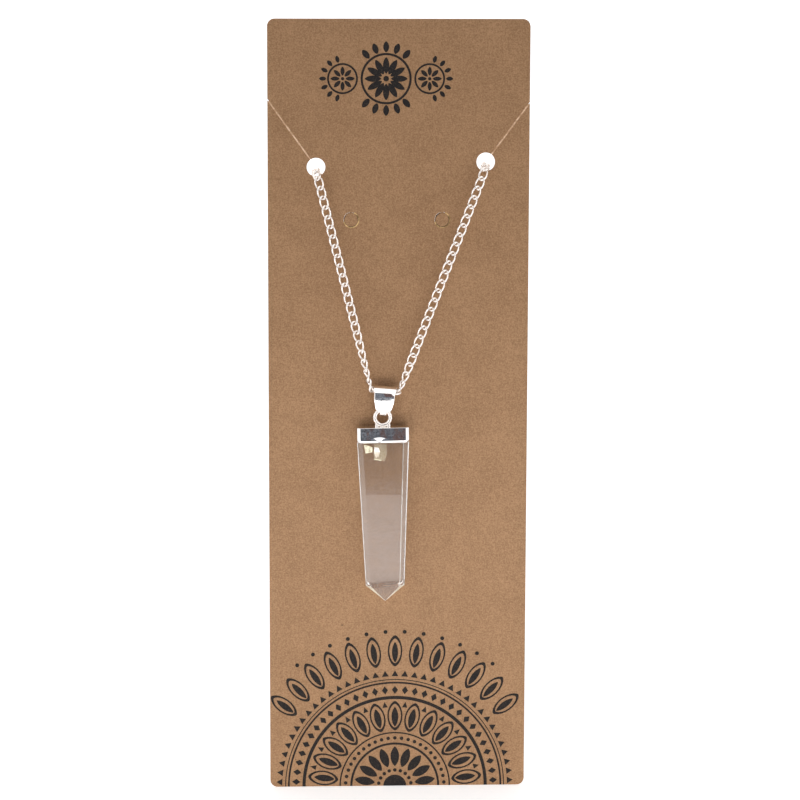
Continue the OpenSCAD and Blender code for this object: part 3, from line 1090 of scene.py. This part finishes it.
# %% Make the flakes
FLAKE_T = 0.05 * MM
FLAKES = (
    ("flake_cream", CREAM_FLAKE, -1.7, 0.12,
     ((-5.2, -0.6), (-4.2, -0.8), (-2.9, -1.3), (-3.0, -2.6), (-4.8, -2.9))),
    ("flake_white", WHITE_FLAKE, -1.6, -0.10,
     ((-2.4, -1.3), (-1.2, -1.5), (-0.9, -2.6), (-1.2, -3.8), (-2.0, -4.2), (-2.5, -3.0))),
    ("flake_veil", VEIL_FLAKE, -1.2, 0.05,
     ((-2.5, -0.5), (0.9, -0.6), (1.0, -2.8), (0.5, -5.1), (-1.0, -4.8), (-2.5, -4.6),
      (-2.6, -3.4))),
    ("flake_veil_edge", CREAM_FLAKE, -1.25, 0.05,
     ((-2.5, -4.5), (-1.6, -4.6), (-0.5, -4.9), (-0.6, -5.1), (-1.7, -4.85), (-2.5, -4.75))),
    # Painted highlights at the shoulder's corners, then painted shade for the back shoulder.
    ("painted_glint_left", WHITE_FLAKE, -1.3, 0.0,
     ((-4.9, -38.2), (-4.3, -38.6), (-3.9, -39.2), (-4.6, -39.2))),
    ("painted_glint_right", WHITE_FLAKE, -1.3, 0.0,
     ((4.9, -38.0), (4.5, -38.9), (3.7, -39.2), (3.4, -38.9), (4.2, -38.7))),
    ("shoulder_shade", PAINTED_SHADE_FLAKE, 1.0, 0.0,
     ((-4.2, -39.2), (3.9, -38.6), (3.2, -39.5), (-3.4, -40.0))),
    ("shoulder_shade_line", PAINTED_SHADE_FLAKE, 0.7, 0.0,
     ((-4.2, -39.1), (3.9, -38.5), (3.9, -38.75), (-4.2, -39.4))))


def flake(name, material, depth, tilt, corners):
    """A thin plate. Corners are (x, z) in mm from the middle of the cap's rim."""
    def build(form):
        rings = []
        for y in (depth * MM, depth * MM + FLAKE_T):
            rings.append([(x * MM, y + tilt * z * MM, CAP_Z - CAP_H + z * MM) for x, z in corners])
        bridge(form, rings)
    plate = solid(name, build)
    plate.data.transform(HUNG)
    return finish_piece(plate, PENDANT_BODY, material)


for row in FLAKES:
    flake(*row)

# %% [markdown]
# The clasp
#
# Behind the card the chain is closed by a clasp that the front never shows. It is a plain
# rounded bar with a small closed ring at each end, turned so that it passes through the last
# link of its strand.

# %% Make the clasp
CLASP_W = 5.0 * MM
CLASP_T = 2.0 * MM
CLASP_EDGE = 0.6 * MM
EYE_D = 3.0 * MM
EYE_WIRE = 0.6 * MM
EYE_SIDES = 10
EYE_TURNS = {LEFT: math.radians(30.0), RIGHT: math.radians(110.0)}
EYE_X = CLASP_SPAN / 2 + (4.0 * MM - LINK_PITCH) / 2 - EYE_D / 2
CLASP_HALF = EYE_X - EYE_D / 2 + EYE_WIRE
CLASP_PLACE = Matrix.Translation(Vector((HOLE_SHIFT, RIM_REACH, LOOP_Z)))
CLASP_STEPS = 24


def build_clasp_bar(form):
    end_r = CLASP_W / 2
    rings = []
    for y in (-CLASP_T / 2, CLASP_T / 2):
        ring = []
        for side in (RIGHT, LEFT):
            for i in range(CLASP_STEPS + 1):
                a = math.pi / 2 - math.pi * i / CLASP_STEPS + (0.0 if side == RIGHT else math.pi)
                x = side * (CLASP_HALF - end_r) + end_r * math.cos(a)
                ring.append((x, y, end_r * math.sin(a)))
        rings.append(ring)
    bridge(form, rings)


def build_eye(side):
    """The closed ring at one end of the bar, turned to pass through its link."""
    turn = Matrix.Rotation(EYE_TURNS[side], 4, "X")
    place = Matrix.Translation((side * EYE_X, 0, 0)) @ turn
    return wire_ring((EYE_D - EYE_WIRE) / 2, EYE_WIRE, CLASP_STEPS, EYE_SIDES, place)


clasp = bevelled(solid("clasp_bar", build_clasp_bar), CLASP_EDGE, 4, 40.0)
clasp = fuse(clasp, [solid("eye_a", build_eye(LEFT)), solid("eye_b", build_eye(RIGHT))])
clasp.data.transform(CLASP_PLACE)
finish_piece(smooth(clasp), CARD_BODY, SILVER, ["clasp"])

# %% [markdown]
# Lips of paper
#
# A die presses its cuts into board from behind, so a fine lip of torn paper stands up along
# each slit and round each ear tab, paler than the face. Moving the card's own mesh would
# change the imported form. The lips are instead low ridges, a twentieth of a millimetre high,
# that lie over the cuts. Round a tab the lip runs over two thirds of the turn and is coloured
# gold, a painted highlight on the paler paper where the light would catch it, and a dark ring
# of painted shade runs all the way round just inside it.

# %% Make the lips
SLIT_RISE = 16.9 * MM
SLIT_SKEW = 1.1 * MM
TAB_SHIFT = -0.5 * MM
TAB_SPACING = 24.4 * MM
TAB_Z = 156.6 * MM
TAB_R = 2.0 * MM
LIP_W = 0.34 * MM
LIP_H = 0.06 * MM
SLIT_STEPS = 12
SLIT_START = 0.1 * MM
SLIT_END = 0.5 * MM
TAB_STEPS = 40
TORN_SCALE, TORN_RANGE = 700.0, (0.4, 0.6)
LIP_ARC = math.radians(-165), 0.66
GROOVE_IN = 0.12 * MM
LIP_SHAPE = ((-0.5, -0.2), (-0.3, 0.75), (0.0, 1.0), (0.3, 0.75), (0.5, -0.2))


def make_paper_cut(name, dark, light):
    material, tree, shader = new_material(name)
    torn = spread(noise(object_place(tree), TORN_SCALE), *TORN_RANGE)
    fill(shader, {"Base Color": blend_colours(torn, dark, light), "Roughness": 0.7})
    return material


def lip(name, line, closed, material, share=1.0):
    """A low ridge along a line of (x, z) points on the card's face."""
    def build(form):
        rings = []
        for i, (x, z) in enumerate(line):
            before = line[i - 1] if closed or i else line[0]
            after = line[(i + 1) % len(line)] if closed or i < len(line) - 1 else line[-1]
            run = Vector((after[0] - before[0], 0, after[1] - before[1])).normalized()
            aside = Vector((run.z, 0, -run.x)) * LIP_W * share
            rings.append([Vector((x, CARD_FRONT - up * LIP_H * share, z)) + aside * out
                          for out, up in LIP_SHAPE])
        bridge(form, rings + rings[:1] if closed else rings, closed_ends=not closed)
    return finish_piece(smooth(solid(name, build), 60.0), CARD_BODY, material)


def slit_line(side):
    start = (HOLE_SHIFT + side * HOLE_SPACING / 2, HOLE_Z + side * HOLE_SKEW / 2)
    run = side * CARD_HIGH.x - start[0]
    rise = SLIT_RISE - side * SLIT_SKEW
    full = math.hypot(run, rise)
    ends = (HOLE_D / 2 + SLIT_START) / full, (full - SLIT_END) / full
    steps = [ends[0] + (ends[1] - ends[0]) * i / SLIT_STEPS for i in range(SLIT_STEPS + 1)]
    return [(start[0] + run * s, start[1] + rise * s) for s in steps]


def tab_line(side, radius, first=0.0, share=1.0):
    """Points round an ear tab, from a first angle on and over a share of the whole turn."""
    middle = TAB_SHIFT + side * TAB_SPACING / 2
    angles = [first + 2 * math.pi * share * i / TAB_STEPS for i in range(TAB_STEPS)]
    return [(middle + radius * math.cos(a), TAB_Z + radius * math.sin(a)) for a in angles]


PALE_CUT = make_paper_cut("pale_cut", (0.52, 0.30, 0.16), (0.86, 0.60, 0.40))
# Painted highlight and painted shade: the gold lip where light would catch a tab's cut, and the
# dark ring inside it.
LIT_LIP_CUT = make_paper_cut("lip_painted_highlight", (0.26, 0.15, 0.05), (0.78, 0.52, 0.22))
SHADED_CUT = make_paper_cut("cut_painted_shade", (0.05, 0.03, 0.015), (0.30, 0.17, 0.08))
for side, tail in ((LEFT, "left"), (RIGHT, "right")):
    lip("slit_lip_" + tail, slit_line(side), False, PALE_CUT, 1.3)
    lip("tab_lip_" + tail, tab_line(side, TAB_R, *LIP_ARC), False, LIT_LIP_CUT, 1.15)
    # A ring of painted shade just inside each tab's cut.
    lip("tab_groove_" + tail, tab_line(side, TAB_R - GROOVE_IN), True, SHADED_CUT, 0.85)

# %% [markdown]
# The printed design
#
# The card carries a dark print: an ornament at its head and a larger one that rises from its
# foot. Both are drawn here as generic rosettes. A design of rings is a rule, so it
# is made by Geometry Nodes: one tree sets any number of leaves, dots, lozenges or triangles
# round an arc, and another draws a plain band. A motif is a circle with few or many corners,
# squeezed to a point where it should be a leaf. The ink is given a real thickness, a
# fiftieth of a millimetre, so that it is a mesh like any other piece and shows from the side.

# %% Geometry Nodes trees for the print
FILM_MERGE = 2e-6
LEAST_LINE = 1e-6


def closed_film(flat, depth):
    """Turns flat faces into a closed film: the face, its rim and its back."""
    lifted = add(flat.tree, "GeometryNodeExtrudeMesh",
                 {"Mesh": flat, "Offset Scale": depth, "Individual": False}, "Mesh")
    back = add(flat.tree, "GeometryNodeFlipFaces", {0: flat})
    both = add(flat.tree, "GeometryNodeJoinGeometry", {0: [lifted, back]})
    return add(flat.tree, "GeometryNodeMergeByDistance", {"Geometry": both, "Distance": FILM_MERGE})


def stand_up(film, given):
    """Turns the film from flat on the ground to upright on the card's face."""
    upright = add(film.tree, "GeometryNodeTransform",
                  {"Geometry": film, "Translation": given["Place"],
                   "Rotation": (math.pi / 2, 0, 0)})
    return end_tree(upright, given["Finish"])


def round_arc(given, share):
    """The angle at a share of the way from the first to the last."""
    return given["From"] + share * (given["To"] - given["From"])


def on_circle(radius, angle):
    """The point at a radius and an angle round the origin."""
    return combine(angle.tree, radius * angle.step("COSINE"), radius * angle.step("SINE"))


def motif_outline(given, length, width):
    """A closed curve: an ellipse, squeezed at its ends as far as the point value says."""
    circle = add(length.tree, "GeometryNodeCurvePrimitiveCircle",
                 {"Resolution": given["Corners"], "Radius": 1.0})
    turn = add(length.tree, "GeometryNodeInputPosition")
    across = axis(turn, "Y")
    x = across * abs(across) ** given["Point"] * (width * -0.5)
    y = axis(turn, "X") * (length * 0.5)
    return add(length.tree, "GeometryNodeSetPosition",
               {"Geometry": circle, "Position": combine(length.tree, x, y)})


def make_motif_tree():
    tree, given = new_tree("ring_of_motifs", {
        "Count": 8, "Radius": 10 * MM, "From": 0.0, "To": 3.0, "Length": 4 * MM, "Width": 2 * MM,
        "Point": 0.0, "Corners": 24, "Line": 0.0, "Depth": 0.02 * MM, "Place": Vector(),
        "Finish": None})
    outer = motif_outline(given, given["Length"], given["Width"])
    double = given["Line"] * 2.0
    stretch = given["Length"] / given["Width"]
    inner = motif_outline(given, given["Length"] - double * stretch, given["Width"] - double)
    both = add(tree, "GeometryNodeJoinGeometry", {0: [outer, inner]})
    has_line = add(tree, "FunctionNodeCompare", {0: given["Line"], 1: LEAST_LINE},
                   operation="GREATER_THAN")
    outline = add(tree, "GeometryNodeSwitch",
                  {"Switch": has_line, "False": outer, "True": both}, input_type="GEOMETRY")
    filled = add(tree, "GeometryNodeFillCurve", {0: outline})
    row = add(tree, "GeometryNodeMeshLine", {"Count": given["Count"]})
    last = (given["Count"] - 1.0).step("MAXIMUM", 1.0)
    angle = round_arc(given, add(tree, "GeometryNodeInputIndex") / last)
    spots = add(tree, "GeometryNodeSetPosition",
                {"Geometry": row, "Position": on_circle(given["Radius"], angle)})
    placed = add(tree, "GeometryNodeInstanceOnPoints",
                 {"Points": spots, "Instance": closed_film(filled, given["Depth"]),
                  "Rotation": combine(tree, z=angle - math.pi / 2)})
    return stand_up(placed, given)


def make_band_tree():
    tree, given = new_tree("arc_band", {
        "Radius": 10 * MM, "Line": 0.5 * MM, "From": 0.0, "To": 3.14, "Steps": 72,
        "Depth": 0.02 * MM, "Place": Vector(), "Finish": None})
    grid = add(tree, "GeometryNodeMeshGrid",
               {"Size X": 1.0, "Size Y": 1.0, "Vertices X": given["Steps"], "Vertices Y": 2})
    cell = add(tree, "GeometryNodeInputPosition")
    angle = round_arc(given, (axis(cell, "X") - 0.5) * -1.0)
    reach = given["Radius"] + (axis(cell, "Y") + 0.5) * given["Line"]
    strip = add(tree, "GeometryNodeSetPosition",
                {"Geometry": grid, "Position": on_circle(reach, angle)})
    return stand_up(closed_film(strip, given["Depth"]), given)


MOTIF_TREE = make_motif_tree()
BAND_TREE = make_band_tree()
print("trees", MOTIF_TREE.name, BAND_TREE.name)

# %% [markdown]
# Rows of the design
#
# Each line of the two lists is one ring of the design, in millimetres and degrees. The rings
# are made one by one, then joined into one piece for each print.

# %% Drawing helpers for the print
INK_T = 0.02 * MM
INK_SINK = 0.004 * MM
ROUND_CORNERS = 20


def ink_ring(tree, place, values):
    """Runs a tree of the print on an empty object."""
    thing = link(tree.name, bpy.data.meshes.new(tree.name))
    return apply_tree(thing, tree, {"Depth": INK_T, "Place": place, "Finish": INK, **values})


def motifs(place, radius, count, length, width, point=0.0, corners=ROUND_CORNERS, line=0.0,
           ends=None):
    """One ring of motifs. Without ends it goes all the way round."""
    start, end = ends or (90.0, 450.0 - 360.0 / count)
    return ink_ring(MOTIF_TREE, place, {
        "Count": count, "Radius": radius * MM, "From": math.radians(start), "To": math.radians(end),
        "Length": length * MM, "Width": width * MM, "Point": point, "Corners": corners,
        "Line": line * MM})


def band(place, radius, line, ends=(0.0, 360.0)):
    start, end = ends
    return ink_ring(BAND_TREE, place, {
        "Radius": radius * MM, "Line": line * MM, "From": math.radians(start),
        "To": math.radians(end)})


def join_print(name, parts):
    def draw(form):
        for part in parts:
            form.from_mesh(part.data)
            bpy.data.objects.remove(part)
    return finish_piece(link(name, mesh_from(name, draw)), CARD_BODY, INK)


def on_card(x, z):
    return (x * MM, CARD_FRONT + INK_SINK, z * MM)


def fan(count):
    """Ends of a ring of motifs on a half circle, half a step in from the foot."""
    half = 90.0 / count
    return (half, 180.0 - half)


# %% The print at the foot
FOOT = on_card(-0.7, 0.0)
HALF = (0.0, 180.0)
foot_rings = [band(FOOT, r, line, HALF) for r, line in (
    (0.05, 3.1), (11.7, 0.6), (14.9, 0.4), (24.6, 0.9), (29.0, 0.5), (30.0, 0.25))]
foot_rings += [
    motifs(FOOT, 4.5, 9, 1.0, 1.0, ends=fan(9)),
    motifs(FOOT, 8.4, 9, 5.6, 2.4, 0.6, ends=fan(9)),
    motifs(FOOT, 13.6, 23, 1.0, 1.0, ends=fan(23)),
    motifs(FOOT, 19.9, 13, 8.4, 4.2, 0.3, line=0.42, ends=fan(13)),
    motifs(FOOT, 19.6, 13, 5.6, 1.9, 0.6, ends=fan(13)),
    motifs(FOOT, 22.9, 12, 2.2, 1.7, corners=3, ends=(180.0 / 13, 180.0 - 180.0 / 13)),
    motifs(FOOT, 27.2, 31, 2.3, 1.7, corners=4, ends=fan(31)),
    motifs(FOOT, 31.6, 37, 2.2, 2.2, corners=3, ends=fan(37)),
    motifs(FOOT, 38.2, 13, 8.8, 4.0, 0.25, line=0.42, ends=(37.0, 143.0)),
    motifs(FOOT, 37.8, 13, 5.8, 1.7, 0.6, ends=(37.0, 143.0)),
    motifs(FOOT, 43.6, 12, 1.1, 1.1, ends=(52.0, 128.0))]
join_print("print_foot", foot_rings)

# %% The print at the head
HEAD_X, HEAD_Z = -3.4, 194.2
HEAD = on_card(HEAD_X, HEAD_Z)
WING = 11.6
head_rings = [
    band(HEAD, 6.2, 0.6),
    motifs(HEAD, 0.0, 1, 1.5, 1.5, ends=(90.0, 90.0)),
    motifs(HEAD, 3.5, 12, 4.4, 1.7, 0.5),
    motifs(HEAD, 8.4, 5, 2.9, 1.6, 0.4, ends=(50.0, 130.0)),
    motifs(HEAD, 8.4, 5, 2.9, 1.6, 0.4, ends=(230.0, 310.0))]
for side in (LEFT, RIGHT):
    wing = on_card(HEAD_X + side * WING, HEAD_Z)
    middle = 90.0 - side * 90.0
    head_rings += [
        band(wing, 3.6, 0.5),
        motifs(wing, 0.0, 1, 0.9, 0.9, ends=(90.0, 90.0)),
        motifs(wing, 2.0, 8, 2.4, 1.1, 0.5),
        motifs(wing, 5.3, 7, 1.9, 1.1, 0.4, ends=(middle - 75.0, middle + 75.0))]
join_print("print_head", head_rings)

# %% [markdown]
# Table, light and reflections
#
# The picture has a white table with nothing on it and light from all sides, most of it low and
# in front, so the soft shadows lie above the pieces that stand off the card. Polished metal
# shows what is around it: a bright table near by and a darker room further off. What lights
# the matt card and what the metal mirrors are set apart, as a photographer sets them apart
# with flags and cards. Dark sheets that only reflections see stand in for the room, cool on
# its left and warm on its right. A bright strip, also only mirrored, makes the flare on the
# bail. A low lamp and a flag overhead act on matt surfaces only and shape the soft shadows.

# %% Table
TABLE_HALF = 40.0
TABLE_GLOW = 0.56


def plane(name, across, foot, head, material):
    """A sheet between two x values, from a foot line at (y, z) to a head line at (y, z)."""
    left, right = across
    mesh = bpy.data.meshes.new(name)
    mesh.from_pydata([(left, *foot), (right, *foot), (right, *head), (left, *head)], [],
                     [(0, 1, 2, 3)])
    mesh.materials.append(material)
    thing = link(name, mesh)
    return thing


def make_table():
    material, _, shader = new_material("table_white")
    fill(shader, {"Base Color": (0.93, 0.93, 0.935), "Roughness": 0.6, "Specular IOR Level": 0.2,
                  "Emission Color": (1.0, 1.0, 1.0), "Emission Strength": TABLE_GLOW})
    t = TABLE_HALF
    return plane("table", (-t, t), (-t, 0), (t, 0), material)


table = make_table()
print("table", table.name, 2 * TABLE_HALF, "m wide")

# %% Lights and dark sheets
WORLD_SEEN = 1.35
WORLD_LIGHT = 0.62
COOL_ROOM = (0.022, 0.024, 0.030), (0.35, 0.38, 0.44)
WARM_ROOM = (0.036, 0.024, 0.024), (0.25, 0.17, 0.165)
ROOM_SCALE, ROOM_RANGE = 180.0, (0.42, 0.60)
ROOM_LEFT, ROOM_SPLIT, ROOM_RIGHT = -0.18, 0.017, 0.14
ROOM_FOOT, ROOM_HEAD = (-0.46, 0.0), (-0.52, 0.39)
FLOOR_FAR, FLOOR_NEAR = (-0.46, 0.001), (-0.185, 0.001)
FLAG_ACROSS = (-0.42, 0.42)
FLAG_FOOT, FLAG_HEAD = (-0.36, 0.09), (-0.42, 0.66)


def make_world():
    world = bpy.data.worlds.new("studio")
    world.use_nodes = True
    matt = add(world.node_tree, "ShaderNodeLightPath", output="Is Diffuse Ray")
    fill(world.node_tree.nodes["Background"],
         {"Color": (1.0, 1.0, 1.0), "Strength": spread(matt, 0.0, 1.0, WORLD_SEEN, WORLD_LIGHT)})
    bpy.context.scene.world = world
    print("world", WORLD_SEEN, "in mirrors and", WORLD_LIGHT, "on matt surfaces")


def set_apart(thing, mirrored):
    """Hides a thing from the camera, and from either matt surfaces or mirrors."""
    thing.visible_camera = False
    thing.visible_transmission = False
    thing.visible_glossy = mirrored
    thing.visible_diffuse = not mirrored
    print(thing.name, "is", "mirrored only" if mirrored else "for matt surfaces only")


def soft_box(name, place, target, size, watts, mirrored):
    """A lamp that either shows in mirrors or lights matt surfaces."""
    data = bpy.data.lights.new(name, "AREA")
    data.shape = "RECTANGLE"
    data.size, data.size_y = size
    data.energy = watts
    lamp = link(name, data)
    lamp.location = place
    lamp.rotation_euler = (target - place).to_track_quat("-Z", "Y").to_euler()
    set_apart(lamp, mirrored)


def dark_sheet(name, across, foot, head, mirrored, colours=COOL_ROOM):
    """A dark sheet that either shows in mirrors or shades matt surfaces."""
    material, tree, shader = new_material(name)
    tree.nodes.remove(shader)
    shapes = spread(noise(object_place(tree), ROOM_SCALE), *ROOM_RANGE)
    colour = blend_colours(shapes, *colours)
    show(add(tree, "ShaderNodeEmission", {"Color": colour, "Strength": 1.0}))
    sheet = plane(name, across, foot, head, material)
    sheet.visible_shadow = False
    set_apart(sheet, mirrored)


make_world()
soft_box("light_strip", mm(0, -80, 50), mm(0, 0, 50), (0.30, 0.034), 0.0455, True)
soft_box("light_low", mm(0, -200, 22), mm(0, 0, 30), (0.4, 0.02), 0.175, False)
dark_sheet("room_left", (ROOM_LEFT, ROOM_SPLIT), ROOM_FOOT, ROOM_HEAD, True)
dark_sheet("room_right", (ROOM_SPLIT, ROOM_RIGHT), ROOM_FOOT, ROOM_HEAD, True, WARM_ROOM)
dark_sheet("dark_floor", (ROOM_LEFT, ROOM_RIGHT), FLOOR_FAR, FLOOR_NEAR, True)
dark_sheet("flag", FLAG_ACROSS, FLAG_FOOT, FLAG_HEAD, False)
